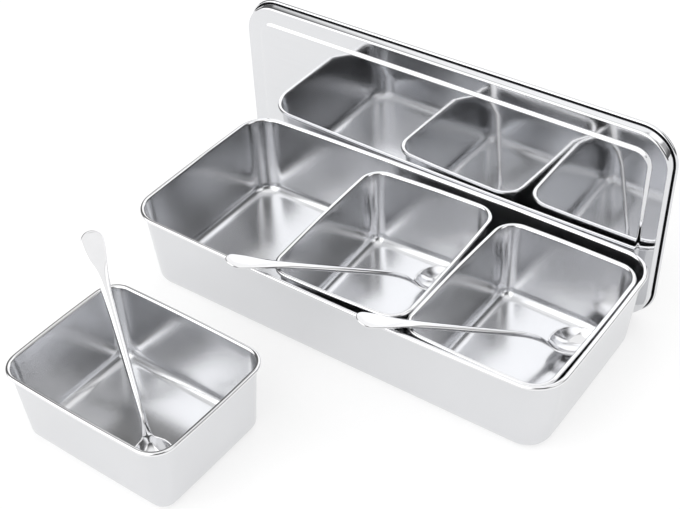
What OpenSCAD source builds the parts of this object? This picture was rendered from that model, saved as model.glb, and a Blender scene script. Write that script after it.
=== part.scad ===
// Condiment caddy in pressed stainless sheet: one long outer box, three lift-out pans,
// three long-handled spoons and one lift-off lid. Millimetres, +Z up.
// Origin: centre of the outer box's underside, on the table. +X runs along the box, +Y to the back.

/* [Node] */

// Which piece to draw

/* [Outer box] */

// Rim length, over the middle of the rolled edge
box_length = 346.5; // [330:0.5:420]
// Rim depth at mid length, over the middle of the rolled edge
box_depth = 158.4; // [150:0.2:192]
// Height to the middle of the rolled edge
box_height = 64.1; // [55:0.1:78]
// Corner radius of the rim
box_corner = 23; // [19:0.5:32]
// How far the front and back rims bow outwards at mid length
box_bow_long = 2.8; // [1.5:0.1:4]
// How far the two end rims bow outwards
box_bow_end = 0.8; // [0.5:0.1:1.5]
// How far the front and back walls lean in from the rim to the floor
box_draft_long = 7.5; // [5:0.1:9]
// How far the end walls lean in from the rim to the floor
box_draft_end = 6.7; // [4:0.1:8]
// Corner radius at the floor
box_floor_corner = 18.3; // [14:0.1:22]
// Radius of the bend between the walls and the floor
box_fillet = 9.3; // [6:0.1:11]

/* [Pans] */

// Room left along the box when all three pans stand in it
pan_room = 7.5; // [6:0.5:40]
// Gap between a pan's rolled edge and the box's, front and back, at mid length
pan_side_gap = 6.3; // [5:0.1:14]
// How far the pans' rims stand below the box's rim
pan_drop = 2.3; // [1:0.1:6]
// Corner radius of the pan rim
pan_corner = 15.8; // [15.5:0.1:20]
// How far the pan walls bow outwards
pan_bow = 1.1; // [0.5:0.1:1.5]
// How far the long walls of a pan lean in from the rim to the floor
pan_draft_long = 5.2; // [3:0.1:6]
// How far the short walls of a pan lean in from the rim to the floor
pan_draft_short = 6.7; // [4:0.1:8]
// Corner radius at the pan's floor
pan_floor_corner = 10.5; // [10:0.1:14]
// Radius of the bend between the pan's walls and floor
pan_fillet = 9.5; // [6:0.1:9.8]

/* [Sheet and rolled edges] */

// Thickness of the sheet of the box, the pans and the lid
sheet = 0.8; // [0.6:0.05:1]
// Radius of the rolled edge of the box and the pans
bead_radius = 1.75; // [1.5:0.05:2]
// Radius of the rolled edge of the lid
lid_bead_radius = 1.4; // [1:0.05:1.7]

/* [Lid] */

// Overall depth of the lid, from its rolled edge to its raised panel
lid_height = 11; // [10.5:0.5:16]
// Height of the raised panel above the border round it
panel_step = 1.2; // [0.8:0.1:2]
// Width of the flat border round the raised panel, from the skirt
panel_border = 15; // [10:0.5:20]
// Corner radius of the raised panel
panel_corner = 12; // [8:0.5:16]
// Outside radius of the bend between the border and the skirt
lid_bend = 3; // [2:0.1:4]
// How far the skirt flares out between the bend and the rolled edge
lid_flare = 0.8; // [0.4:0.1:1.5]

/* [Spoons] */

// Length of the straight handle, from its free end to the neck
handle_length = 125; // [106:0.5:150]
// Widest part of the handle, near its free end
handle_width = 16.2; // [12:0.2:18]
// Least length of handle that stands out past the pan's corner
handle_overhang = 20; // [10:1:25]
// Width of the handle where it meets the neck
neck_width = 3.8; // [3.4:0.1:5]
// Thickness of the handle and the bowl
spoon_sheet = 1.2; // [1:0.1:1.5]
// Length of the bowl at its edge
bowl_length = 39; // [36:0.5:42]
// Width of the bowl at its edge
bowl_width = 29; // [26:0.5:32]
// Depth of the bowl, outside
bowl_depth = 8.6; // [7.5:0.1:10]

/* [Clearances] */

// Gap between the box's rolled edge and the inside of the lid's skirt, at the corners
lid_clearance = 0.4; // [0.3:0.05:1]
// Least gap kept between pieces that rest on each other
rest_gap = 0.3; // [0.25:0.05:0.5]
// Gap between the middle pan and the right pan, where they reach furthest towards each other
pan_gap = 0.15; // [0.1:0.05:5]

/* [Arrangement] */

// Middle pan: turn on the box floor, in degrees
pan_middle_turn = 2.2; // [-2.5:0.1:2.5]
// Right pan: gap between its rolled edge and the box end
pan_right_gap = 0.9; // [0.8:0.1:2]
// Right pan: turn on the box floor, in degrees
pan_right_turn = -0.7; // [-0.8:0.1:0.8]
// Loose pan: place of its centre along the table
pan_left_x = -65.2; // [-80:0.1:80]
// Loose pan: gap between its rim and the box
pan_left_gap = 58.5; // [40:0.5:90]
// Loose pan: turn on the table, in degrees
pan_left_turn = -91; // [-95:0.1:-85]
// Loose pan's spoon: how far its handle swings off the line to the rim's corner, in degrees
spoon_left_swing = 1.2; // [-2.5:0.05:2.5]
// Middle pan's spoon: how far its handle swings off the line to the rim's corner, in degrees
spoon_middle_swing = -0.8; // [-2.5:0.05:2.5]
// Right pan's spoon: how far its handle swings off the line to the rim's corner, in degrees
spoon_right_swing = -0.7; // [-2.5:0.05:2.5]
// Lid: how far it leans towards the box it stands behind, in degrees
lid_lean = 0.5; // [0.3:0.1:4]
// Lid: turn on the table, in degrees
lid_turn = -0.55; // [-2:0.05:2]
// Lid: place of its middle along the box
lid_x = -6.1; // [-20:0.1:20]

/* [Hidden] */

$fn = 96;
// How far the lid's skirt runs into its rolled edge
bead_bite = 0.05;
// Nearly flat bow of the walls at floor level
floor_bow = 0.3;

// The pans fit in the box: three in a row, below its rim
pan_floor = sheet + rest_gap;
box_inside_x = box_length / 2 - box_bow_end - bead_radius;
pan_width = (2 * box_inside_x - pan_room) / 3 - 2 * bead_radius;
pan_length = box_depth - 4 * bead_radius - 2 * pan_side_gap;
pan_height = box_height - pan_floor - pan_drop;

// Rim outline: four shallow side arcs and four corner arcs, all tangent.
// rim = [length, depth, corner radius, bow of the long sides, bow of the ends]
box_rim = [box_length, box_depth, box_corner, box_bow_long, box_bow_end];
box_foot = [box_length - 2 * box_draft_end, box_depth - 2 * box_draft_long,
            box_floor_corner, floor_bow, floor_bow];
pan_rim = [pan_width, pan_length, pan_corner, pan_bow, pan_bow];
pan_foot = [pan_width - 2 * pan_draft_long, pan_length - 2 * pan_draft_short,
            pan_floor_corner, floor_bow, floor_bow];

// Radius of an arc that bows out by "bow" over a half length "half"
function arc_radius(half, bow) = half * half / (2 * bow) + bow / 2;
function front_radius(rim) = arc_radius(rim[0] / 2, rim[3]);
function end_radius(rim) = arc_radius(rim[1] / 2, rim[4]);
// Arc centres: the front wall's, and the right-hand end wall's
function front_centre(rim) = [0, front_radius(rim) - rim[1] / 2];
function end_centre(rim) = [rim[0] / 2 - end_radius(rim), 0];
// Point at distance ra from a and rb from b, on the right-hand side of the line from a to b
function two_circles(a, b, ra, rb) =
    let (d = norm(b - a))
    let (u = (b - a) / d)
    let (s = (ra * ra - rb * rb + d * d) / (2 * d))
    let (h = sqrt(ra * ra - s * s))
    a + s * u + h * [-u[1], u[0]];
// Centre of the corner arc at the front right
function corner_centre(rim) =
    two_circles(front_centre(rim), end_centre(rim), front_radius(rim) - rim[2], end_radius(rim) - rim[2]);
// A point turned about the origin
function turned(p, turn) = [p[0] * cos(turn) - p[1] * sin(turn), p[0] * sin(turn) + p[1] * cos(turn)];
// Half angles spanned by the front arc and the end arc
function front_angle(rim) =
    let (k = corner_centre(rim))
    atan2(k[0], front_centre(rim)[1] - k[1]);
function end_angle(rim) =
    let (k = corner_centre(rim))
    atan2(-k[1], k[0] - end_centre(rim)[0]);

// Pans in the box. The right pan lies in the box's front right corner: the play is how far apart
// the centres of the two corner arcs may be before the pan's rim meets the box's wall
pan_reach_x = pan_width / 2 + bead_radius;
wall_lean = max(box_draft_long, box_draft_end) / box_height;
wall_in = (box_height - pan_floor - pan_height) * wall_lean;
corner_play = box_corner - pan_corner - 2 * bead_radius - wall_in - rest_gap;
pan_corner_at = turned(corner_centre(pan_rim), pan_right_turn);
box_corner_at = corner_centre(box_rim);
pan_right_x = min(box_inside_x - pan_reach_x - pan_right_gap,
                  box_corner_at[0] - pan_corner_at[0] + corner_play);
corner_over = max(0, pan_right_x + pan_corner_at[0] - box_corner_at[0]);
corner_dip = corner_play > 0 ? sqrt(corner_play * corner_play - corner_over * corner_over) : corner_play;
pan_right_y = box_corner_at[1] - pan_corner_at[1] - corner_dip;
// How far a pan's rim outline reaches sideways when it is turned
function turned_reach(turn) =
    let (k = corner_centre(pan_rim))
    abs(turn) < end_angle(pan_rim)
        ? end_centre(pan_rim)[0] * cos(turn) + end_radius(pan_rim)
        : k[0] * cos(turn) - k[1] * sin(abs(turn)) + pan_corner;
pan_middle_x = pan_right_x - turned_reach(pan_right_turn) - turned_reach(pan_middle_turn)
    - 2 * bead_radius - pan_gap;
pan_left_y = -(box_depth / 2 + bead_radius + pan_left_gap + pan_width / 2);

// Lid: its skirt is straight and clears the rim at the corners. The long rims bow out beyond that while
// the box stands open, and spring straight when the lid goes on. Sizes are taken at the skirt's lower edge
lid_inside_x = box_length + 2 * bead_radius + 2 * lid_clearance;
lid_inside_y = box_depth - 2 * box_bow_long + 2 * bead_radius + 2 * lid_clearance;
lid_inside_corner = box_corner + bead_radius + lid_clearance;
lid_bead_out = 2 * lid_bead_radius;
lid_outside_x = lid_inside_x + 2 * lid_bead_out;
lid_outside_y = lid_inside_y + 2 * lid_bead_out;
lid_corner_x = lid_inside_x / 2 - lid_inside_corner;
lid_corner_y = lid_inside_y / 2 - lid_inside_corner;
border_z = lid_height - panel_step;
// How far the lid's flat middle runs into its edge strips
plate_lap = 4;
panel_x = lid_inside_x - 2 * panel_border;
panel_y = lid_inside_y - 2 * panel_border;
// Where the leaning lid stands, so that its panel comes up against the box's back rim
lid_bead_y = lid_height - lid_bead_radius;
lid_foot_z = lid_bead_radius - lid_bead_y * sin(lid_lean) - lid_bead_radius * cos(lid_lean);
turn_slope = abs(tan(lid_turn));
turn_reach = min(1, turn_slope * box_length / 2 / (2 * box_bow_long));
turn_room = turn_slope * box_length / 2 * turn_reach - box_bow_long * turn_reach * turn_reach;
lean_room = (box_height - lid_foot_z) * sin(lid_lean);
lid_foot_y = box_depth / 2 + (bead_radius + 1.3 * rest_gap + lean_room) / cos(lid_lean) + turn_room;

// Spoon: the bowl is a spindle turned about a line above it, cut off at its edge
spindle_mid = (pow(bowl_width / 2, 2) + bowl_depth * bowl_depth) / (2 * bowl_depth);
spindle_axis_z = spindle_mid;
spindle_arc = (pow(bowl_length / 2, 2) + bowl_depth * bowl_depth) / (2 * bowl_depth);
bowl_back_slope = acos((spindle_arc - bowl_depth) / spindle_arc);
// The neck turns from the slope of the bowl's back wall to the slope of the handle
handle_slope = 18;
neck_slope = bowl_back_slope - 4;
neck_radius = 76;
neck_x = -(spindle_arc - spoon_sheet / 2) * sin(neck_slope);
// The strip's end stands this much proud of the bowl's wall, so that the two surfaces cross cleanly
neck_proud = 0.08;
neck_z = spindle_arc - (spindle_arc - spoon_sheet / 2) * cos(neck_slope) + neck_proud;
neck_axis_x = neck_x - neck_radius * sin(neck_slope);
neck_axis_z = neck_z - neck_radius * cos(neck_slope);
handle_x = neck_axis_x + neck_radius * sin(handle_slope);
handle_z = neck_axis_z + neck_radius * cos(handle_slope);
handle_end_x = handle_x - handle_length * cos(handle_slope);
// Half widths of the handle: broad end, waist where the broad end runs out, slim shaft, neck, bowl
handle_run = handle_x - handle_end_x;
waist_half = 0.31 * handle_width;
handle_halves = [[handle_end_x + handle_width / 2, handle_width / 2],
                 [handle_end_x + 0.22 * handle_run, waist_half],
                 [handle_end_x + 0.34 * handle_run, 0.85 * neck_width],
                 [handle_x, neck_width / 2],
                 [neck_x - 7, 0.55 * neck_width],
                 [neck_x + 1, 1.15 * neck_width]];
// Square distance of the handle's underside from the bowl's lowest point
handle_rise = handle_x * sin(handle_slope) + handle_z * cos(handle_slope) - spoon_sheet / 2;

// The rim corner a handle lies over, and the furthest a bowl may lie from its centre
rest_corner = [-corner_centre(pan_rim)[0], corner_centre(pan_rim)[1]];
spoon_span = -handle_end_x - pan_corner - handle_overhang;
// Distance back along the handle from the bowl's lowest point to the corner of the pan rim
function rim_distance(place, turn) =
    let (m = rest_corner - place)
    let (along = -m * [cos(turn), sin(turn)])
    along + sqrt(pan_corner * pan_corner - (m * m - along * along));
// Room over the rim at the middle of the handle, so that the handle's edge clears the round corner too
function rim_room(place, turn) =
    let (m = rest_corner - place)
    let (aside = abs(m[0] * sin(turn) - m[1] * cos(turn)))
    let (half = max(waist_half, lookup(-rim_distance(place, turn), handle_halves)))
    let (edge = min(pan_corner, aside + half))
    let (back = sqrt(pan_corner * pan_corner - aside * aside) - sqrt(pan_corner * pan_corner - edge * edge))
    1.1 * rest_gap + back * sin(handle_slope);
// Tilt that lays the handle on the rim while the bowl stands on the pan's floor
function spoon_tilt(place, turn) =
    let (reach = rim_distance(place, turn))
    let (high = pan_height - sheet - rest_gap)
    acos((handle_rise - bead_radius - rim_room(place, turn)) / norm([reach, high]))
    - atan2(reach, high) - handle_slope;

// Bowl place in a pan's own frame, from its insets from the two far walls: nearer in a pan that is
// too long for the handle. The handle then points at the rest corner, but for its swing
function spoon_place(insets) =
    let (away = [pan_width / 2 - insets[0], pan_length / 2 - insets[1]] - rest_corner)
    rest_corner + away * min(1, spoon_span / norm(away));
function spoon_turn(place, swing) = atan2(place[1] - rest_corner[1], place[0] - rest_corner[0]) + swing;

// The eight arcs of an outline, counter-clockwise from the front:
// centre, radius, first and last angle, steps
function outline_arcs(rim, steps) =
    let (k = corner_centre(rim))
    let (f = front_centre(rim))
    let (e = end_centre(rim))
    let (fr = front_radius(rim))
    let (er = end_radius(rim))
    let (fa = front_angle(rim))
    let (ea = end_angle(rim))
    [[f, fr, -90 - fa, -90 + fa, steps[0]],
     [k, rim[2], -90 + fa, -ea, steps[1]],
     [e, er, -ea, ea, steps[2]],
     [[k[0], -k[1]], rim[2], ea, 90 - fa, steps[1]],
     [-f, fr, 90 - fa, 90 + fa, steps[0]],
     [-k, rim[2], 90 + fa, 180 - ea, steps[1]],
     [-e, er, 180 - ea, 180 + ea, steps[2]],
     [[-k[0], k[1]], rim[2], 180 + ea, 270 - fa, steps[1]]];
// One level ring of points, moved inwards by "inset"
function ring(rim, inset, z, steps) =
    [for (a = outline_arcs(rim, steps)) for (i = [0 : a[4] - 1])
        let (t = a[2] + (a[3] - a[2]) * i / a[4])
        [a[0][0] + (a[1] - inset) * cos(t), a[0][1] + (a[1] - inset) * sin(t), z]];
// Section of a tray from under its floor, over the rolled edge, to the inside of its floor:
// pairs of inset from the outline and height
function tray_section(foot, rim, height, fillet) =
    let (wall = bead_radius - sheet)
    let (lean = atan(((rim[0] - foot[0] + rim[1] - foot[1]) / 4 - wall) / height))
    let (first = acos(-wall / bead_radius))
    let (bend = function(radius, turn) let (z = fillet - radius * cos(turn))
        [wall * z / height + (z - fillet) * tan(lean) + fillet / cos(lean) - radius * sin(turn), z])
    concat([for (i = [0 : 4]) bend(fillet, (90 - lean) * i / 4)],
           [for (i = [0 : 9]) let (t = -first + (180 + first) * i / 9)
               [-bead_radius * cos(t), height + bead_radius * sin(t)]],
           [for (i = [4 : -1 : 0]) bend(fillet - sheet, (90 - lean) * i / 4)]);

// A pressed tray with a rolled edge: a skin over level rings, from an outline at the floor
// to another at the rim
module tray(foot, rim, height, fillet, steps) {
    section = tray_section(foot, rim, height, fillet);
    count = 2 * steps[0] + 4 * steps[1] + 2 * steps[2];
    last = len(section) - 1;
    points = [for (s = section) each ring(foot + (rim - foot) * s[1] / height, s[0], s[1], steps)];
    skin = [for (j = [0 : last - 1]) for (i = [0 : count - 1])
        let (a = j * count + i)
        let (b = j * count + (i + 1) % count)
        each [[a, a + count, b + count], [a, b + count, b]]];
    floor_below = [for (i = [0 : count - 1]) i];
    floor_inside = [for (i = [0 : count - 1]) (last + 1) * count - 1 - i];
    polyhedron(points, concat(skin, [floor_below, floor_inside]), convexity = 6);
}

module outer_box() {
    color("silver")
        tray(box_foot, box_rim, box_height, box_fillet, [6, 6, 3]);
}

module pan() {
    tray(pan_foot, pan_rim, pan_height, pan_fillet, [3, 5, 4]);
}

module pan_left() {
    color("gainsboro")
        translate([pan_left_x, pan_left_y, 0])
            rotate([0, 0, pan_left_turn])
                pan();
}

module pan_middle() {
    color("gainsboro")
        translate([pan_middle_x, 0, pan_floor])
            rotate([0, 0, pan_middle_turn])
                pan();
}

module pan_right() {
    color("gainsboro")
        translate([pan_right_x, pan_right_y, pan_floor])
            rotate([0, 0, pan_right_turn])
                pan();
}

// Half section of the lid's edge: border, bend, skirt; x = 0 at the inside of the skirt's lower edge
module lid_fill(reach, inset, bottom) {
    rise = border_z - lid_bead_radius;
    lean = atan(lid_flare / rise);
    foot_x = bead_bite + sheet / cos(lean);
    bend_z = border_z - lid_bend;
    bend_x = foot_x - (bend_z - lid_bead_radius) * tan(lean) - lid_bend / cos(lean);
    bend = lid_bend - inset;
    polygon([[-reach, bottom], [foot_x - (bottom - lid_bead_radius) * tan(lean) - inset / cos(lean), bottom],
             [bend_x + bend * cos(lean), bend_z + bend * sin(lean)],
             [bend_x, border_z - inset], [-reach, border_z - inset]]);
    translate([bend_x, bend_z])
        circle(bend);
}

module lid_section(reach) {
    difference() {
        lid_fill(reach, 0, lid_bead_radius);
        lid_fill(reach + 1, sheet, lid_bead_radius - 1);
    }
    translate([lid_bead_radius, lid_bead_radius])
        circle(lid_bead_radius);
}

// Rectangle with round corners, centred
module panel_shape(size_x, size_y, corner) {
    square([size_x - 2 * corner, size_y], center = true);
    square([size_x, size_y - 2 * corner], center = true);
    for (side_x = [-1, 1])
        for (side_y = [-1, 1])
            translate([side_x * (size_x / 2 - corner), side_y * (size_y / 2 - corner)])
                circle(corner);
}

// The lid lying flat, rolled edge down, centred on the origin
module lid_flat() {
    difference() {
        union() {
            for (across = [0, 1])
                for (back = [0, 1])
                    mirror([across, 0, 0])
                        mirror([0, back, 0])
                            translate([lid_corner_x, lid_corner_y, 0])
                                rotate_extrude(angle = 90)
                                    translate([lid_inside_corner, 0])
                                        lid_section(lid_inside_corner - plate_lap / 2);
            for (side = [0, 1])
                mirror([0, side, 0])
                    translate([-lid_corner_x, lid_inside_y / 2, 0])
                        rotate([90, 0, 90])
                            linear_extrude(height = 2 * lid_corner_x)
                                lid_section(lid_inside_corner);
            for (side = [0, 1])
                mirror([side, 0, 0])
                    translate([lid_inside_x / 2, lid_corner_y, 0])
                        rotate([90, 0, 0])
                            linear_extrude(height = 2 * lid_corner_y)
                                lid_section(lid_inside_corner);
            translate([-lid_corner_x - plate_lap, -lid_corner_y - plate_lap, border_z - sheet])
                cube([2 * (lid_corner_x + plate_lap), 2 * (lid_corner_y + plate_lap), sheet]);
            translate([0, 0, border_z - sheet])
                linear_extrude(height = panel_step + sheet)
                    panel_shape(panel_x, panel_y, panel_corner);
        }
        translate([0, 0, border_z - sheet - 1])
            linear_extrude(height = panel_step + 1)
                panel_shape(panel_x - 2 * sheet, panel_y - 2 * sheet, panel_corner - sheet);
    }
}

// The lid stands on its long edge behind the box, its panel towards the box
module lid() {
    color("whitesmoke")
        translate([lid_x, lid_foot_y, lid_foot_z])
            rotate([lid_lean, 0, lid_turn])
                translate([0, lid_height, lid_outside_y / 2])
                    rotate([90, 0, 0])
                        lid_flat();
}

// Everything below the strip's upper face, "inset" below it: straight handle and round neck
module spoon_under(inset) {
    radius = neck_radius + spoon_sheet / 2 - inset;
    up = [sin(handle_slope), cos(handle_slope)];
    back = [-cos(handle_slope), sin(handle_slope)];
    polygon([[0, 0], radius * up, radius * up + (handle_length + 5) * back, (handle_length + 5) * back]);
    circle(radius);
}

// Side view of the spoon's strip, about the neck's centre
module spoon_strip() {
    up = [sin(handle_slope), cos(handle_slope)];
    back = [-cos(handle_slope), sin(handle_slope)];
    intersection() {
        difference() {
            spoon_under(0);
            spoon_under(spoon_sheet);
        }
        polygon([[0, 0], 1.2 * neck_radius * [sin(neck_slope), cos(neck_slope)],
                 1.2 * neck_radius * up + handle_length * back,
                 0.9 * neck_radius * up + handle_length * back]);
    }
}

// Plan view of the strip: broad round free end, slim handle, neck widening to the bowl
module spoon_plan() {
    polygon(concat(handle_halves, [for (i = [5 : -1 : 0]) [handle_halves[i][0], -handle_halves[i][1]]]));
    translate([handle_end_x + handle_width / 2, 0])
        circle(handle_width / 2);
}

// One spoon, its bowl's lowest point at the origin, handle towards -X
module spoon() {
    intersection() {
        translate([neck_axis_x, handle_width, neck_axis_z])
            rotate([90, 0, 0])
                linear_extrude(height = 2 * handle_width)
                    spoon_strip();
        translate([0, 0, -10])
            linear_extrude(height = 120)
                spoon_plan();
    }
    intersection() {
        translate([0, 0, spindle_mid])
            rotate([0, 90, 0])
                rotate_extrude()
                    intersection() {
                        difference() {
                            translate([spindle_mid - spindle_arc, 0])
                                circle(spindle_arc);
                            translate([spindle_mid - spindle_arc, 0])
                                circle(spindle_arc - spoon_sheet);
                        }
                        translate([0, -bowl_length])
                            square([bowl_length, 2 * bowl_length]);
                    }
        translate([-bowl_length, -bowl_width, -1])
            cube([2 * bowl_length, 2 * bowl_width, bowl_depth + 1]);
    }
}

// A spoon laid in a pan's own frame: bowl on the floor, handle over the corner of the rim
module spoon_in_pan(insets, swing) {
    place = spoon_place(insets);
    turn = spoon_turn(place, swing);
    tilt = spoon_tilt(place, turn);
    translate([place[0], place[1], sheet + rest_gap + spindle_arc * (1 - cos(tilt))])
        rotate([0, tilt, turn])
            spoon();
}

module spoon_left() {
    color("white")
        translate([pan_left_x, pan_left_y, 0])
            rotate([0, 0, pan_left_turn])
                spoon_in_pan([31.6, 39.4], spoon_left_swing);
}

module spoon_middle() {
    color("white")
        translate([pan_middle_x, 0, pan_floor])
            rotate([0, 0, pan_middle_turn])
                spoon_in_pan([29.1, 35], spoon_middle_swing);
}

module spoon_right() {
    color("white")
        translate([pan_right_x, pan_right_y, pan_floor])
            rotate([0, 0, pan_right_turn])
                spoon_in_pan([29.1, 35.7], spoon_right_swing);
}

outer_box();
lid();
pan_left();
pan_middle();
pan_right();
spoon_left();
spoon_middle();
spoon_right();
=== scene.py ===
import math
import bpy
import bmesh
import numpy as np
from mathutils import Matrix, Vector


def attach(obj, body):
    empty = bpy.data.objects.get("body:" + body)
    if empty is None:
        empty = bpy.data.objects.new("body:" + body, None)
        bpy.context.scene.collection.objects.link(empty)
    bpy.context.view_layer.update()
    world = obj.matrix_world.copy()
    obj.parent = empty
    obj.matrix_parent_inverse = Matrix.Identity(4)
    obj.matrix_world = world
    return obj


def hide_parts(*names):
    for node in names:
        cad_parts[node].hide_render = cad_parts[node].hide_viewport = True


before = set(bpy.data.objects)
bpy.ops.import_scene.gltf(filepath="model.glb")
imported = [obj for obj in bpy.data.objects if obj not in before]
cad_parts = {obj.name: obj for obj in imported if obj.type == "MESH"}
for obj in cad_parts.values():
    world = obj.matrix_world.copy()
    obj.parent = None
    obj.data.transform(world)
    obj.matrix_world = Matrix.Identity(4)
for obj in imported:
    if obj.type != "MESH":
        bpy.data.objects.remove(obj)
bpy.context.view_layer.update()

# ---------------------------------------------------------------- outer box
# A long, shallow box pressed from one stainless sheet. Its walls lean out to a
# rim that bows a little along each side, and the rim is curled over outwards.
# It stands free on the table; nothing is fixed to it.

# outlines: length, depth, corner radius, bow of the long sides, bow of the ends
BOX_RIM = (0.3465, 0.1584, 0.0230, 0.0028, 0.0008)
BOX_FOOT = (0.3331, 0.1434, 0.0183, 0.0003, 0.0003)
BOX_HEIGHT = 0.0641
BOX_BEND = 0.0093
STEEL_SHEET = 0.0008
CURL_RADIUS = 0.00175
# the slot where the curl's free edge tucks up against the wall
SEAM_DEPTH = 0.0009
SEAM_WIDTH = 0.0004
# points along a long side, round a corner, along an end
BOX_STEPS = (60, 18, 30)
# points up a bend, a wall and a curl, and rings across a floor
BEND_STEPS, WALL_STEPS, CURL_STEPS, FLOOR_STEPS = 14, 8, 28, 8
SHARP_EDGE = math.radians(50)


def rim_arcs(rim):
    """Four shallow side arcs and four corner arcs, all tangent: centre, radius, first and last angle."""
    length, depth, corner_radius, bow_long, bow_end = rim
    front_radius = (length / 2) ** 2 / (2 * bow_long) + bow_long / 2
    end_radius = (depth / 2) ** 2 / (2 * bow_end) + bow_end / 2
    front = np.array([0.0, front_radius - depth / 2])
    end = np.array([length / 2 - end_radius, 0.0])
    # the corner's centre, from its distances to the centres of the front and the end arc
    gap = np.linalg.norm(end - front)
    along = (end - front) / gap
    to_front, to_end = front_radius - corner_radius, end_radius - corner_radius
    reach = (to_front * to_front - to_end * to_end + gap * gap) / (2 * gap)
    aside = math.sqrt(to_front * to_front - reach * reach)
    corner = front + reach * along + aside * np.array([-along[1], along[0]])
    front_turn = math.atan2(corner[0], front[1] - corner[1])
    end_turn = math.atan2(-corner[1], corner[0] - end[0])
    quarter = math.pi / 2
    return [(front, front_radius, -quarter - front_turn, -quarter + front_turn),
            (corner, corner_radius, -quarter + front_turn, -end_turn),
            (end, end_radius, -end_turn, end_turn),
            (corner * (1, -1), corner_radius, end_turn, quarter - front_turn),
            (-front, front_radius, quarter - front_turn, quarter + front_turn),
            (-corner, corner_radius, quarter + front_turn, 2 * quarter - end_turn),
            (-end, end_radius, 2 * quarter - end_turn, 2 * quarter + end_turn),
            (corner * (-1, 1), corner_radius, 2 * quarter + end_turn, 3 * quarter - front_turn)]


def rim_ring(rim, inset, z, steps):
    """One level ring of points, moved in by inset."""
    long_side, corner, end = steps
    points = []
    for (centre, radius, first, last), count in zip(rim_arcs(rim), [long_side, corner, end, corner] * 2):
        turn = np.linspace(first, last, count, endpoint=False)
        reach = radius - inset
        points.append(np.c_[centre[0] + reach * np.cos(turn), centre[1] + reach * np.sin(turn), turn * 0 + z])
    return np.concatenate(points)


def skin_mesh(name, rings, shaded_seams=(), rims=()):
    """Joins level rings into a closed skin; faces after a ring in the seam rows take the second material,
    which paints the seam's shade near-black, and faces after a ring in the rim rows take the third.
    """
    count = len(rings[0])
    verts = [tuple(point) for ring in rings for point in ring]
    faces, slots = [], []
    for row in range(len(rings) - 1):
        slot = 1 if row in shaded_seams else 2 if row in rims else 0
        for i in range(count):
            here, beside = row * count + i, row * count + (i + 1) % count
            faces.append((here, beside, beside + count, here + count))
            slots.append(slot)
    first_middle, last_middle = len(verts), len(verts) + 1
    verts += [tuple(rings[0].mean(0)), tuple(rings[-1].mean(0))]
    last = (len(rings) - 1) * count
    for i in range(count):
        beside = (i + 1) % count
        faces += [(first_middle, beside, i), (last_middle, last + i, last + beside)]
        slots += [0, 0]
    mesh = bpy.data.meshes.new(name)
    mesh.from_pydata(verts, [], faces)
    mesh.update()
    mesh.polygons.foreach_set("material_index", slots)
    mesh.polygons.foreach_set("use_smooth", [True] * len(faces))
    mesh.set_sharp_from_angle(angle=SHARP_EDGE)
    return mesh


def floor_rings(ring):
    """Level rings from a floor's edge towards its middle."""
    middle = ring.mean(0)
    made = []
    for share in np.linspace(1, 0, FLOOR_STEPS + 1)[1:-1]:
        inner = middle + (ring - middle) * share
        inner[:, 2] = ring[:, 2]
        made.append(inner)
    return made


def pressed_tray(name, foot, rim, height, bend, steps):
    """The bent sheet from under the floor, up over the curled rim and down to the inside of the floor."""
    foot, rim_size = np.array(foot), np.array(rim)
    wall = CURL_RADIUS - STEEL_SHEET
    lean = math.atan(((rim[0] - foot[0] + rim[1] - foot[1]) / 4 - wall) / height)

    def bend_point(radius, turn):
        """Inset and height of a point on the bend between the floor and the wall."""
        z = bend - radius * math.cos(turn)
        at_wall = (z - bend) * math.tan(lean) + bend / math.cos(lean)
        return wall * z / height + at_wall - radius * math.sin(turn), z

    def straight(start, stop):
        """Points after start, up to stop."""
        return [(start[0] + (stop[0] - start[0]) * k, start[1] + (stop[1] - start[1]) * k)
                for k in np.linspace(0, 1, WALL_STEPS)[1:]]

    section = [bend_point(bend, turn) for turn in np.linspace(0, math.pi / 2 - lean, BEND_STEPS)]
    mouth = math.acos(-wall / CURL_RADIUS)
    rise = height - CURL_RADIUS * math.sin(mouth)
    section += straight(section[-1], (wall, rise))
    seam_start = len(section) - 1
    section += [(wall, rise + SEAM_DEPTH), (wall - SEAM_WIDTH, rise + SEAM_DEPTH)]
    seam_end = len(section)
    curl_start = -math.acos((SEAM_WIDTH - wall) / CURL_RADIUS)
    section += [(-CURL_RADIUS * math.cos(turn), height + CURL_RADIUS * math.sin(turn))
                for turn in np.linspace(curl_start, math.pi, CURL_STEPS)]
    inner_bend = bend - STEEL_SHEET
    section += straight((CURL_RADIUS, height), bend_point(inner_bend, math.pi / 2 - lean))[:-1]
    section += [bend_point(inner_bend, turn) for turn in np.linspace(math.pi / 2 - lean, 0, BEND_STEPS)]
    rings = [rim_ring(foot + (rim_size - foot) * z / height, inset, z, steps) for inset, z in section]
    below = floor_rings(rings[0])[::-1]
    # the slot's faces get the second material, painted near-black as shade
    shaded_seams = range(len(below) + seam_start, len(below) + seam_end)
    rims = range(len(below) + seam_end, len(below) + seam_end + CURL_STEPS - 1)
    return skin_mesh(name, below + rings + floor_rings(rings[-1]), shaded_seams, rims)


def add_piece(name, mesh, materials, place=Matrix.Identity(4)):
    """The piece as an object at the origin, its place in its mesh."""
    mesh.transform(place)
    for material in materials:
        mesh.materials.append(material)
    piece = bpy.data.objects.new(name, mesh)
    bpy.context.scene.collection.objects.link(piece)
    return piece


# the part of the noise's range that is spread over the whole range of roughness and of tone
ROUGHNESS_SPAN = (0.35, 0.65)
TONE_SPAN = (0.3, 0.7)
# how much of the roughness and tone comes from the streaks, the rest from the clouds
STREAK_SHARE = 0.3
WAVE_SCALE = 9.0
# a height of 1 in the finish is this deep
FINISH_DEPTH = 0.0001
# the duller places' share of the full colour
DULL_SHARE = 0.94


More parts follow.
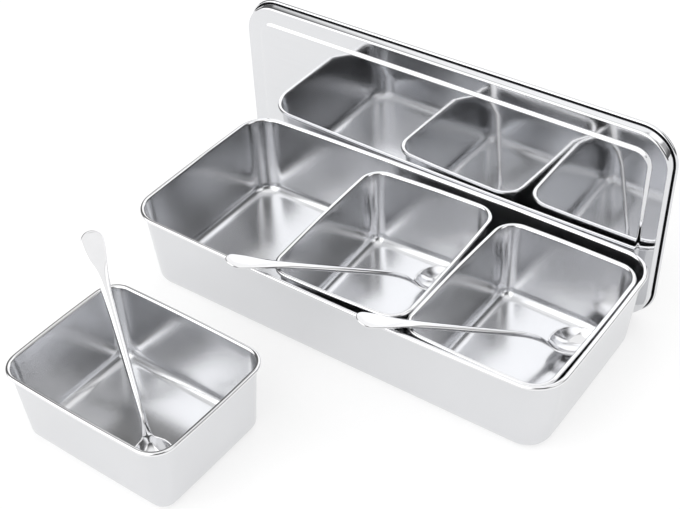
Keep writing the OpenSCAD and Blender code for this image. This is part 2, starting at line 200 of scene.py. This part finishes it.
def sheet_finish_group():
    """Rolled and pressed stainless: fine streaks, soft cloudy patches and a faint waviness."""
    group = bpy.data.node_groups.new("stainless_sheet_finish", "ShaderNodeTree")
    face = group.interface
    for label in ("Streak Scale", "Streak Depth", "Cloud Scale",
                  "Roughness Low", "Roughness High", "Wave Depth"):
        face.new_socket(label, in_out="INPUT", socket_type="NodeSocketFloat")
    face.new_socket("Streak Stretch", in_out="INPUT", socket_type="NodeSocketVector")
    for label in ("Roughness", "Tone", "Height"):
        face.new_socket(label, in_out="OUTPUT", socket_type="NodeSocketFloat")
    nodes, links = group.nodes, group.links
    given, result = nodes.new("NodeGroupInput"), nodes.new("NodeGroupOutput")
    place = nodes.new("ShaderNodeTexCoord")

    stretch = nodes.new("ShaderNodeVectorMath")
    stretch.operation = "MULTIPLY"
    links.new(place.outputs["Object"], stretch.inputs[0])
    links.new(given.outputs["Streak Stretch"], stretch.inputs[1])
    streak = nodes.new("ShaderNodeTexNoise")
    streak.inputs["Detail"].default_value = 3.0
    links.new(stretch.outputs[0], streak.inputs["Vector"])
    links.new(given.outputs["Streak Scale"], streak.inputs["Scale"])

    cloud = nodes.new("ShaderNodeTexNoise")
    cloud.inputs["Detail"].default_value = 4.0
    links.new(place.outputs["Object"], cloud.inputs["Vector"])
    links.new(given.outputs["Cloud Scale"], cloud.inputs["Scale"])
    mixed = nodes.new("ShaderNodeMix")
    mixed.inputs["Factor"].default_value = STREAK_SHARE
    links.new(cloud.outputs["Fac"], mixed.inputs["A"])
    links.new(streak.outputs["Fac"], mixed.inputs["B"])

    rough = nodes.new("ShaderNodeMapRange")
    rough.inputs["From Min"].default_value = ROUGHNESS_SPAN[0]
    rough.inputs["From Max"].default_value = ROUGHNESS_SPAN[1]
    links.new(mixed.outputs["Result"], rough.inputs["Value"])
    links.new(given.outputs["Roughness Low"], rough.inputs["To Min"])
    links.new(given.outputs["Roughness High"], rough.inputs["To Max"])
    links.new(rough.outputs[0], result.inputs["Roughness"])
    tone = nodes.new("ShaderNodeMapRange")
    tone.inputs["From Min"].default_value = TONE_SPAN[0]
    tone.inputs["From Max"].default_value = TONE_SPAN[1]
    links.new(mixed.outputs["Result"], tone.inputs["Value"])
    links.new(tone.outputs[0], result.inputs["Tone"])

    wave = nodes.new("ShaderNodeTexNoise")
    wave.inputs["Scale"].default_value = WAVE_SCALE
    wave.inputs["Detail"].default_value = 1.0
    links.new(place.outputs["Object"], wave.inputs["Vector"])
    deep = nodes.new("ShaderNodeMath")
    deep.operation = "MULTIPLY"
    links.new(wave.outputs["Fac"], deep.inputs[0])
    links.new(given.outputs["Wave Depth"], deep.inputs[1])
    fine = nodes.new("ShaderNodeMath")
    fine.operation = "MULTIPLY_ADD"
    links.new(streak.outputs["Fac"], fine.inputs[0])
    links.new(given.outputs["Streak Depth"], fine.inputs[1])
    links.new(deep.outputs[0], fine.inputs[2])
    links.new(fine.outputs[0], result.inputs["Height"])
    return group


STAINLESS = sheet_finish_group()


def stainless(name, colour, roughness, streak, stretch, wave_depth, cloud_scale):
    """A stainless finish; streak is its scale and depth, and depths are shares of FINISH_DEPTH."""
    material = bpy.data.materials.new(name)
    material.use_nodes = True
    nodes, links = material.node_tree.nodes, material.node_tree.links
    shader = nodes["Principled BSDF"]
    shader.inputs["Metallic"].default_value = 1.0
    finish = nodes.new("ShaderNodeGroup")
    finish.node_tree = STAINLESS
    finish.inputs["Streak Scale"].default_value = streak[0]
    finish.inputs["Streak Depth"].default_value = streak[1]
    finish.inputs["Streak Stretch"].default_value = stretch
    finish.inputs["Cloud Scale"].default_value = cloud_scale
    finish.inputs["Roughness Low"].default_value = roughness[0]
    finish.inputs["Roughness High"].default_value = roughness[1]
    finish.inputs["Wave Depth"].default_value = wave_depth
    tint = nodes.new("ShaderNodeMix")
    tint.data_type = "RGBA"
    tint.inputs["A"].default_value = tuple(c * DULL_SHARE for c in colour) + (1.0,)
    tint.inputs["B"].default_value = tuple(colour) + (1.0,)
    links.new(finish.outputs["Tone"], tint.inputs["Factor"])
    links.new(tint.outputs["Result"], shader.inputs["Base Color"])
    links.new(finish.outputs["Roughness"], shader.inputs["Roughness"])
    bump = nodes.new("ShaderNodeBump")
    bump.inputs["Strength"].default_value = 1.0
    bump.inputs["Distance"].default_value = FINISH_DEPTH
    links.new(finish.outputs["Height"], bump.inputs["Height"])
    links.new(bump.outputs["Normal"], shader.inputs["Normal"])
    return material


box_steel = stainless("box_satin_steel", (0.745, 0.75, 0.765), roughness=(0.17, 0.24),
                      streak=(1600.0, 0.004), stretch=(0.06, 1.0, 1.0), wave_depth=0.25, cloud_scale=14.0)
rim_steel = stainless("rim_burnished_steel", (0.86, 0.86, 0.87), roughness=(0.07, 0.11),
                      streak=(1600.0, 0.002), stretch=(1.0, 1.0, 1.0), wave_depth=0.0, cloud_scale=40.0)
# painted shade: near-black steel on the faces of the slot under each curl, standing in for the shadow there
seam_painted_shade = stainless("seam_painted_shade_steel", (0.06, 0.06, 0.065), roughness=(0.5, 0.6),
                       streak=(900.0, 0.004), stretch=(1.0, 1.0, 1.0), wave_depth=0.0, cloud_scale=30.0)
box_mesh = pressed_tray("box_shell", BOX_FOOT, BOX_RIM, BOX_HEIGHT, BOX_BEND, BOX_STEPS)
outer_box = add_piece("box_shell", box_mesh, [box_steel, seam_painted_shade, rim_steel])
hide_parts("outer_box")
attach(outer_box, "outer_box")

# ---------------------------------------------------------------- pans
# Three alike, pressed from the same sheet and curled at the rim like the box.
# Two stand loose on the box's floor, the third stands on the table.
PAN_RIM = (0.1078, 0.1388, 0.0158, 0.0011, 0.0011)
PAN_FOOT = (0.0974, 0.1254, 0.0105, 0.0003, 0.0003)
PAN_HEIGHT = 0.0607
PAN_BEND = 0.0095
PAN_STEPS = (24, 14, 30)
# underside of a pan in the box: the box's sheet and a little room
PAN_LIFT = 0.0011
# x, y and z of the underside's middle, turn in degrees
PAN_PLACES = {"pan_middle": (0.00118, 0.0, PAN_LIFT, 2.2),
              "pan_right": (0.11415, -0.00352, PAN_LIFT, -0.7),
              "pan_left": (-0.0652, -0.19335, 0.0, -91.0)}
pan_steel = stainless("pan_satin_steel", (0.755, 0.76, 0.775), roughness=(0.17, 0.24),
                      streak=(1300.0, 0.004), stretch=(1.0, 0.06, 1.0), wave_depth=0.25, cloud_scale=18.0)
pan_place = {}
for node, (x, y, z, turn) in PAN_PLACES.items():
    pan_place[node] = Matrix.Translation((x, y, z)) @ Matrix.Rotation(math.radians(turn), 4, "Z")
    pan_mesh = pressed_tray(node + "_shell", PAN_FOOT, PAN_RIM, PAN_HEIGHT, PAN_BEND, PAN_STEPS)
    pan = add_piece(node + "_shell", pan_mesh, [pan_steel, seam_painted_shade, rim_steel], pan_place[node])
    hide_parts(node)
    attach(pan, node)

# ---------------------------------------------------------------- spoons
# Three alike, stamped from one strip and polished: a broad rounded end, a slim
# crowned handle, a curved neck and a small oval bowl. Each lies loose in its pan,
# its bowl on the floor and its handle over the corner of the rim.
SPOON_SHEET = 0.0012
BOWL_LENGTH, BOWL_WIDTH, BOWL_DEPTH = 0.039, 0.029, 0.0086
HANDLE_LENGTH, HANDLE_WIDTH, NECK_WIDTH = 0.125, 0.0162, 0.0038
HANDLE_SLOPE = math.radians(18)
NECK_RADIUS = 0.076
# how much flatter the neck meets the bowl than the bowl's own edge stands
NECK_EASE = math.radians(4)
# half the handle's width, as shares of its widest, at shares of the way from the free end to the neck
HANDLE_STOPS = np.array([0.0, 0.06, 0.13, 0.20, 0.28, 0.36, 0.55, 0.85, 1.0])
HANDLE_HALVES = np.array([0.50, 0.50, 0.46, 0.37, 0.275, 0.225, 0.185, 0.155, 0.145])
# half the shoulders' width, as shares of the neck's, at distances past the neck's end
SHOULDER_STOPS = np.array([-0.007, 0.002])
SHOULDER_HALVES = np.array([0.60, 1.15])
# the outline is the mean of this many copies of it, moved along by up to this much
OUTLINE_BLUR, OUTLINE_COPIES = 0.004, 9
SHOULDER_BLEND = 0.0012
# where the sheet begins to cup and is fully cupped, and how far round the spin it may go
CUP_START, CUP_FULL = -0.026, -0.013
CUP_LIMIT = 0.98
# how far the coined top of the handle stands up along its middle
CROWN_BROAD, CROWN_SLIM = 0.0007, 0.0018
# distances from the free end over which the crown starts, and goes from broad to slim
CROWN_START = 0.004
CROWN_SLIMS = (0.015, 0.05)
# distances from the neck's end over which the crown fades out
CROWN_FADES = (-0.012, 0.001)
TIP_LENGTH = 0.012
# points along the tip, the handle, the neck and the bowl, and across the strip
TIP_STEPS, HANDLE_STEPS, NECK_STEPS, BOWL_STEPS, ACROSS_STEPS = 20, 60, 26, 40, 29
# points closer than this become one, and edges shorter than this go
WELD, SLIVER = 0.000004, 0.000001
# room kept between a spoon and its pan, and a little more of it where the handle crosses the rim
REST_GAP = 0.0003
RIM_GAP = 1.1 * REST_GAP
# half the handle's width where it crosses the rim, as a share of its widest
RIM_SHARE = 0.31
# pan, place of the bowl's lowest point in it, swing off the line to the rim's corner in degrees
SPOON_PLACES = {"spoon_left": ("pan_left", (0.0223, 0.0300), 1.2),
                "spoon_middle": ("pan_middle", (0.0248, 0.0344), -0.8),
                "spoon_right": ("pan_right", (0.0248, 0.0337), -0.7)}

# The bowl is an arc along the spoon, spun about a line over it: the radius of the spin at mid
# length, the radius of the arc, and the same to the middle of the sheet.
SPIN_MID = ((BOWL_WIDTH / 2) ** 2 + BOWL_DEPTH ** 2) / (2 * BOWL_DEPTH)
SPIN_ARC = ((BOWL_LENGTH / 2) ** 2 + BOWL_DEPTH ** 2) / (2 * BOWL_DEPTH)
MID_ARC = SPIN_ARC - SPOON_SHEET / 2
# where the neck leaves the bowl, the middle of the neck's arc, and where it meets the handle
NECK_SLOPE = math.acos((SPIN_ARC - BOWL_DEPTH) / SPIN_ARC) - NECK_EASE
NECK_X = -MID_ARC * math.sin(NECK_SLOPE)
NECK_Z = SPIN_ARC - MID_ARC * math.cos(NECK_SLOPE)
HINGE_X = NECK_X - NECK_RADIUS * math.sin(NECK_SLOPE)
HINGE_Z = NECK_Z - NECK_RADIUS * math.cos(NECK_SLOPE)
HANDLE_X = HINGE_X + NECK_RADIUS * math.sin(HANDLE_SLOPE)
HANDLE_Z = HINGE_Z + NECK_RADIUS * math.cos(HANDLE_SLOPE)
END_X = HANDLE_X - HANDLE_LENGTH * math.cos(HANDLE_SLOPE)
# distance from the bowl's lowest point to the line of the handle's underside, square to it
HANDLE_RISE = HANDLE_X * math.sin(HANDLE_SLOPE) + HANDLE_Z * math.cos(HANDLE_SLOPE) - SPOON_SHEET / 2
# where the strip ends in the bowl's outline, and where the bowl's own rows start
SHOULDER_X = NECK_X + SHOULDER_STOPS[1]
BOWL_X = NECK_X + 0.003


def ease(x, first, last):
    """Smooth step from 0 at first to 1 at last."""
    k = np.clip((x - first) / (last - first), 0, 1)
    return k * k * (3 - 2 * k)


def strip_height(x):
    """Height of the middle of the sheet along the spoon's centre line."""
    handle = HANDLE_Z + (HANDLE_X - x) * math.tan(HANDLE_SLOPE)
    neck = HINGE_Z + np.sqrt(np.maximum(NECK_RADIUS ** 2 - (x - HINGE_X) ** 2, 0))
    bowl = SPIN_ARC - np.sqrt(np.maximum(MID_ARC ** 2 - x * x, 0))
    return np.where(x < HANDLE_X, handle, np.where(x < NECK_X, neck, bowl))


def handle_half(x):
    """Half the strip's width from the broad end to the shoulders of the bowl."""
    stops = np.append(HANDLE_STOPS * (HANDLE_X - END_X), NECK_X + SHOULDER_STOPS - END_X)
    halves = np.append(HANDLE_HALVES * HANDLE_WIDTH, SHOULDER_HALVES * NECK_WIDTH)
    shifts = np.linspace(-OUTLINE_BLUR, OUTLINE_BLUR, OUTLINE_COPIES)
    wide = sum(np.interp(x + shift - END_X, stops, halves) for shift in shifts) / OUTLINE_COPIES
    end_radius = HANDLE_WIDTH / 2
    back = np.clip(END_X + end_radius - x, 0, end_radius)
    return wide * np.sqrt(np.maximum(1 - (back / end_radius) ** 2, 0))


def bowl_half(x):
    """Half the bowl's width at its edge."""
    spin = np.maximum(np.sqrt(np.maximum(SPIN_ARC ** 2 - x * x, 0)) - (SPIN_ARC - SPIN_MID), 0)
    return np.sqrt(np.maximum(spin ** 2 - (SPIN_MID - BOWL_DEPTH) ** 2, 0))


def spoon_half(x):
    """Half the spoon's width: the strip, blended into the bowl at its shoulders."""
    strip = np.where(x < SHOULDER_X, handle_half(x), 0)
    bowl = bowl_half(x)
    apart = np.sqrt((strip - bowl) ** 2 + SHOULDER_BLEND ** 2 * (bowl > 0))
    return np.where(x < SHOULDER_X, (strip + bowl + apart) / 2, bowl)


def spoon_height(x, y):
    """Height of the middle of the sheet: flat handle, cupped bowl."""
    spin = np.sqrt(MID_ARC ** 2 - np.clip(x, NECK_X, BOWL_LENGTH / 2) ** 2) - (SPIN_ARC - SPIN_MID)
    cupped = spin - np.sqrt(np.maximum(spin ** 2 - np.minimum(abs(y), CUP_LIMIT * spin) ** 2, 0))
    return strip_height(x) + ease(x, CUP_START, CUP_FULL) * cupped


def spoon_rows():
    """Places along the spoon, closer together at its tips."""
    tip = END_X + TIP_LENGTH * (1 - np.cos(np.linspace(0, math.pi / 2, TIP_STEPS)))
    handle = np.linspace(tip[-1], HANDLE_X, HANDLE_STEPS)[1:]
    neck = np.linspace(HANDLE_X, BOWL_X, NECK_STEPS)[1:]
    bowl = BOWL_X + (BOWL_LENGTH / 2 - BOWL_X) * np.sin(np.linspace(0, math.pi / 2, BOWL_STEPS))[1:]
    return np.concatenate([tip, handle, neck, bowl])


def sheet_normals(x, y):
    """Directions square to the middle of the sheet."""
    tiny = 1e-5
    rise_x = (spoon_height(x + tiny, y) - spoon_height(x - tiny, y)) / (2 * tiny)
    rise_y = (spoon_height(x, y + tiny) - spoon_height(x, y - tiny)) / (2 * tiny)
    normal = np.dstack([-rise_x, -rise_y, np.ones_like(rise_x)])
    return normal / np.linalg.norm(normal, axis=2)[..., None]


def spoon_mesh(name):
    """Upper and lower skins of the stamped strip, rounded into each other at the edge."""
    x = spoon_rows()
    half = spoon_half(x)
    slope = np.cos(np.arctan(np.gradient(half, x)))
    across = np.sin(np.linspace(-math.pi / 2, math.pi / 2, ACROSS_STEPS))
    grid_x = np.repeat(x[:, None], len(across), 1)
    grid_y = half[:, None] * across[None, :]
    normal = sheet_normals(grid_x, grid_y)
    edge = SPOON_SHEET / 2
    inward = np.clip((1 - abs(across))[None, :] * (half * slope)[:, None] / edge, 0, 1)
    thick = edge * np.sqrt(1 - (1 - inward) ** 2)
    slim = ease(x, END_X + CROWN_SLIMS[0], END_X + CROWN_SLIMS[1])
    crown = (CROWN_BROAD + (CROWN_SLIM - CROWN_BROAD) * slim) * ease(x, END_X, END_X + CROWN_START)
    crown = crown * (1 - ease(x, NECK_X + CROWN_FADES[0], NECK_X + CROWN_FADES[1]))
    crown = crown[:, None] * (1 - across[None, :] ** 2)
    middle = np.dstack([grid_x, grid_y, spoon_height(grid_x, grid_y)])
    top = middle + normal * (thick + crown)[..., None]
    low = middle - normal * thick[..., None]
    rows, cols = grid_x.shape
    verts = np.concatenate([top.reshape(-1, 3), low.reshape(-1, 3)])
    faces = []
    under = rows * cols
    for i in range(rows - 1):
        for j in range(cols - 1):
            here = i * cols + j
            faces.append((here, here + cols, here + cols + 1, here + 1))
            faces.append((under + here, under + here + 1, under + here + cols + 1, under + here + cols))
    mesh = bpy.data.meshes.new(name)
    mesh.from_pydata([tuple(v) for v in verts], [], faces)
    made = bmesh.new()
    made.from_mesh(mesh)
    bmesh.ops.remove_doubles(made, verts=made.verts, dist=WELD)
    bmesh.ops.dissolve_degenerate(made, edges=made.edges, dist=SLIVER)
    bmesh.ops.recalc_face_normals(made, faces=made.faces)
    made.to_mesh(mesh)
    made.free()
    mesh.polygons.foreach_set("use_smooth", [True] * len(mesh.polygons))
    return mesh


def rim_corner_from(place):
    """From the bowl's lowest point to the middle of the rim's corner that the handle crosses."""
    corner = rim_arcs(PAN_RIM)[1][0]
    return np.array([-corner[0], corner[1]]) - np.array(place)


def rim_distance(place, turn):
    """Distance back along the handle from the bowl's lowest point to the corner of the pan rim."""
    corner = rim_corner_from(place)
    along = -corner @ np.array([math.cos(turn), math.sin(turn)])
    return along + math.sqrt(PAN_RIM[2] ** 2 - (corner @ corner - along * along))


def rim_room(place, turn):
    """Room over the rim at the middle of the handle, so that its edge clears the round corner too."""
    corner = rim_corner_from(place)
    aside = abs(corner[0] * math.sin(turn) - corner[1] * math.cos(turn))
    edge = aside + RIM_SHARE * HANDLE_WIDTH
    back = math.sqrt(PAN_RIM[2] ** 2 - aside ** 2) - math.sqrt(PAN_RIM[2] ** 2 - edge ** 2)
    return RIM_GAP + back * math.sin(HANDLE_SLOPE)


spoon_steel = stainless("spoon_mirror_steel", (0.80, 0.80, 0.81), roughness=(0.04, 0.08),
                        streak=(2200.0, 0.002), stretch=(1.0, 1.0, 1.0), wave_depth=0.4, cloud_scale=60.0)
for node, (under_pan, place, swing) in SPOON_PLACES.items():
    to_corner = rim_corner_from(place)
    turn = math.atan2(-to_corner[1], -to_corner[0]) + math.radians(swing)
    reach = rim_distance(place, turn)
    high = PAN_HEIGHT - STEEL_SHEET - REST_GAP
    clear = HANDLE_RISE - CURL_RADIUS - rim_room(place, turn)
    tilt = math.acos(clear / math.hypot(reach, high)) - math.atan2(reach, high) - HANDLE_SLOPE
    lift = STEEL_SHEET + REST_GAP + SPIN_ARC * (1 - math.cos(tilt))
    lay = (pan_place[under_pan] @ Matrix.Translation((place[0], place[1], lift))
           @ Matrix.Rotation(turn, 4, "Z") @ Matrix.Rotation(tilt, 4, "Y"))
    spoon = add_piece(node + "_strip", spoon_mesh(node + "_strip"), [spoon_steel], lay)
    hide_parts(node)
    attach(spoon, node)

# ---------------------------------------------------------------- lid
# One pressed sheet, polished, with a raised panel, a flat border, a shallow skirt
# and a curled edge that clears the box's rim. It isn't hinged: it stands on its
# long edge behind the box and leans on the back rim.

# length, depth and corner radius inside the skirt's lower edge
LID_INSIDE = (0.3508, 0.1571, 0.02515)
LID_HEIGHT = 0.011
# the raised panel's height over the border, and the width of the soft step down to it
LID_STEP = 0.0012
LID_STEP_WIDTH = 0.0036
# from the skirt in to the top of the step, and how much further in the step starts on the underside
LID_BORDER = 0.0150
LID_STEP_UNDER = 0.0003
LID_BEND = 0.0016
LID_FLARE = 0.0008
LID_CURL = 0.0014
LID_CURL_SWEEP = math.radians(258)
# how far the skirt's inner face stands out from the lid's inside length and depth
SKIRT_TUCK = 0.00005
# the slot between the skirt and the curl's free edge, its faces painted near-black as shade: distance past
# the skirt's foot, height
LID_SEAM = ((-0.0001, 0.0031), (-0.00025, 0.0017), (0.0002, 0.0014), (0.0003, 0.0021))
# points across the step, round the bend, round the curl, and round each corner
STEP_STEPS, LID_BEND_STEPS, LID_CURL_STEPS, LID_CORNER_STEPS = 13, 12, 24, 22
LID_LEAN, LID_TURN = math.radians(0.5), math.radians(-0.55)
LID_PLACE = (-0.0061, 0.08215)


def round_ring(size, inset, z):
    """A level ring round a rectangle with round corners, moved in by inset."""
    length, depth, corner = size
    points = []
    for side, end, first in ((1, -1, -90), (1, 1, 0), (-1, 1, 90), (-1, -1, 180)):
        for turn in np.linspace(math.radians(first), math.radians(first + 90), LID_CORNER_STEPS):
            points.append((side * (length / 2 - corner) + (corner - inset) * math.cos(turn),
                           end * (depth / 2 - corner) + (corner - inset) * math.sin(turn), z))
    return np.array(points)


def lid_mesh(name):
    """The lid lying flat: from the raised panel, over the border and skirt, round the curl and back under."""
    border = LID_HEIGHT - LID_STEP
    lean = math.atan(LID_FLARE / (border - LID_CURL))
    foot = SKIRT_TUCK + STEEL_SHEET / math.cos(lean)

    def skirt(inset):
        """The bend from the border into the skirt."""
        bend_z = border - LID_BEND
        bend_x = foot - (bend_z - LID_CURL) * math.tan(lean) - LID_BEND / math.cos(lean)
        return [(bend_x + (LID_BEND - inset) * math.cos(turn), bend_z + (LID_BEND - inset) * math.sin(turn))
                for turn in np.linspace(math.pi / 2, lean, LID_BEND_STEPS)]

    def step(top, low, start):
        """Soft S between the raised panel and the border."""
        return [(start + LID_STEP_WIDTH * k, top + (low - top) * ease(k, 0, 1))
                for k in np.linspace(0, 1, STEP_STEPS)]

    face = step(LID_HEIGHT, border, -LID_BORDER) + skirt(0)
    seam = [(foot + out, high) for out, high in LID_SEAM]
    curl = [(LID_CURL - LID_CURL * math.cos(turn), LID_CURL - LID_CURL * math.sin(turn))
            for turn in np.linspace(LID_CURL_SWEEP, 0, LID_CURL_STEPS)]
    under = step(LID_HEIGHT - STEEL_SHEET, border - STEEL_SHEET, -LID_BORDER - LID_STEP_UNDER)
    under += skirt(STEEL_SHEET)
    rings = [round_ring(LID_INSIDE, -x, z) for x, z in face + seam + curl + under[::-1]]
    panel = floor_rings(rings[0])[::-1]
    layers = panel + rings + floor_rings(rings[-1])
    # the layers are joined in reverse, so that the faces look outwards
    first = len(panel) + len(face)
    # the slot's faces get the second material, painted near-black as shade
    shaded_seams = [len(layers) - 2 - row for row in range(first, first + len(seam))]
    return skin_mesh(name, layers[::-1], shaded_seams)


lid_steel = stainless("lid_mirror_steel", (0.76, 0.765, 0.78), roughness=(0.045, 0.085),
                      streak=(1500.0, 0.012), stretch=(0.02, 1.0, 1.0), wave_depth=0.3, cloud_scale=10.0)
lid_span = LID_INSIDE[1] + 4 * LID_CURL
lid_foot_z = LID_CURL - (LID_HEIGHT - LID_CURL) * math.sin(LID_LEAN) - LID_CURL * math.cos(LID_LEAN)
lid_place = (Matrix.Translation((LID_PLACE[0], LID_PLACE[1], lid_foot_z)) @ Matrix.Rotation(LID_TURN, 4, "Z")
             @ Matrix.Rotation(LID_LEAN, 4, "X") @ Matrix.Translation((0, LID_HEIGHT, lid_span / 2))
             @ Matrix.Rotation(math.radians(90), 4, "X"))
lid = add_piece("lid_shell", lid_mesh("lid_shell"), [lid_steel, seam_painted_shade], lid_place)
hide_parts("lid")
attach(lid, "lid")

# ---------------------------------------------------------------- table
# A plain matt table top that runs out of sight, pale grey to the light and white
# to the eye and in the steel, so that it still takes the pieces' soft shadows.
TABLE_HALF = 12
TABLE_GREY = (0.4, 0.4, 0.4, 1.0)
TABLE_GLOW = 0.66
table_mesh = bpy.data.meshes.new("table")
corners = [(-TABLE_HALF, -TABLE_HALF, 0), (TABLE_HALF, -TABLE_HALF, 0),
           (TABLE_HALF, TABLE_HALF, 0), (-TABLE_HALF, TABLE_HALF, 0)]
table_mesh.from_pydata(corners, [], [(0, 1, 2, 3)])
table_top = bpy.data.objects.new("table", table_mesh)
bpy.context.scene.collection.objects.link(table_top)
table_white = bpy.data.materials.new("white_table")
table_white.use_nodes = True
nodes, links = table_white.node_tree.nodes, table_white.node_tree.links
shader = nodes["Principled BSDF"]
shader.inputs["Base Color"].default_value = TABLE_GREY
shader.inputs["Roughness"].default_value = 0.9
shader.inputs["Specular IOR Level"].default_value = 0.0
shader.inputs["Emission Color"].default_value = (1, 1, 1, 1)
path = nodes.new("ShaderNodeLightPath")
seen = path.outputs["Is Camera Ray"]
for ray in ("Is Glossy Ray", "Is Transmission Ray"):
    either = nodes.new("ShaderNodeMath")
    either.operation = "MAXIMUM"
    links.new(seen, either.inputs[0])
    links.new(path.outputs[ray], either.inputs[1])
    seen = either.outputs[0]
glow = nodes.new("ShaderNodeMath")
glow.operation = "MULTIPLY"
links.new(seen, glow.inputs[0])
glow.inputs[1].default_value = TABLE_GLOW
links.new(glow.outputs[0], shader.inputs["Emission Strength"])
table_mesh.materials.append(table_white)

# ---------------------------------------------------------------- studio
# A dim room with soft diffusers hung round and over the table, each fading out at
# its edge. The camera is a short telephoto at the front right, well above the table.
DIM = 0.13
# direction of each diffuser's middle, cosines where it fades out and is full, strength
DIFFUSERS = (((-0.35, -0.80, 0.49), 0.60, 0.84, 1.85),
             ((0.0, 0.0, 1.0), 0.74, 0.90, 1.10),
             ((-0.20, 0.85, 0.48), 0.86, 0.93, 1.20),
             ((0.65, 0.45, 0.62), 0.84, 0.95, 0.50),
             ((0.33, 0.68, 0.655), 0.93, 0.98, 1.40),
             ((0.82, 0.08, 0.56), 0.92, 0.975, 1.30))
world = bpy.data.worlds.new("studio")
bpy.context.scene.world = world
world.use_nodes = True
nodes, links = world.node_tree.nodes, world.node_tree.links
sky = nodes.new("ShaderNodeTexCoord")
brightest = None
for middle, fade, full, strength in DIFFUSERS:
    facing = nodes.new("ShaderNodeVectorMath")
    facing.operation = "DOT_PRODUCT"
    facing.inputs[1].default_value = Vector(middle).normalized()
    links.new(sky.outputs["Generated"], facing.inputs[0])
    diffuser = nodes.new("ShaderNodeMapRange")
    diffuser.interpolation_type = "SMOOTHSTEP"
    diffuser.inputs["From Min"].default_value = fade
    diffuser.inputs["From Max"].default_value = full
    diffuser.inputs["To Min"].default_value = DIM
    diffuser.inputs["To Max"].default_value = strength
    links.new(facing.outputs["Value"], diffuser.inputs["Value"])
    if brightest is None:
        brightest = diffuser.outputs[0]
    else:
        brighter = nodes.new("ShaderNodeMath")
        brighter.operation = "MAXIMUM"
        links.new(brightest, brighter.inputs[0])
        links.new(diffuser.outputs[0], brighter.inputs[1])
        brightest = brighter.outputs[0]
# where the table runs out, the camera sees plain white
path = nodes.new("ShaderNodeLightPath")
backdrop = nodes.new("ShaderNodeMix")
backdrop.inputs["B"].default_value = 1.0
links.new(path.outputs["Is Camera Ray"], backdrop.inputs["Factor"])
links.new(brightest, backdrop.inputs["A"])
links.new(backdrop.outputs["Result"], nodes["Background"].inputs["Strength"])
nodes["Background"].inputs["Color"].default_value = (1.0, 1.0, 1.0, 1.0)

AZIMUTH, ELEVATION, ROLL = math.radians(36.665), math.radians(41.937), math.radians(-2.373)
LOOK_AT = (-0.02202, -0.02643, 0.0)
CAMERA_DISTANCE = 0.92957
toward = Vector((math.sin(AZIMUTH) * math.cos(ELEVATION),
                 -math.cos(AZIMUTH) * math.cos(ELEVATION),
                 math.sin(ELEVATION)))
right = Vector((math.cos(AZIMUTH), math.sin(AZIMUTH), 0))
up = toward.cross(right)
level_right = right * math.cos(ROLL) + up * math.sin(ROLL)
level_up = up * math.cos(ROLL) - right * math.sin(ROLL)
stand = Vector(LOOK_AT) + toward * CAMERA_DISTANCE
camera_data = bpy.data.cameras.new("camera")
camera_data.sensor_width = 36.0
camera_data.lens = 66.62
camera_data.shift_y = 0.0873
camera_data.clip_end = 20.0
camera = bpy.data.objects.new("camera", camera_data)
camera.matrix_world = Matrix(((level_right.x, level_up.x, toward.x, stand.x),
                              (level_right.y, level_up.y, toward.y, stand.y),
                              (level_right.z, level_up.z, toward.z, stand.z), (0, 0, 0, 1)))
bpy.context.scene.collection.objects.link(camera)
bpy.context.scene.camera = camera
bpy.context.scene.view_settings.view_transform = "Standard"
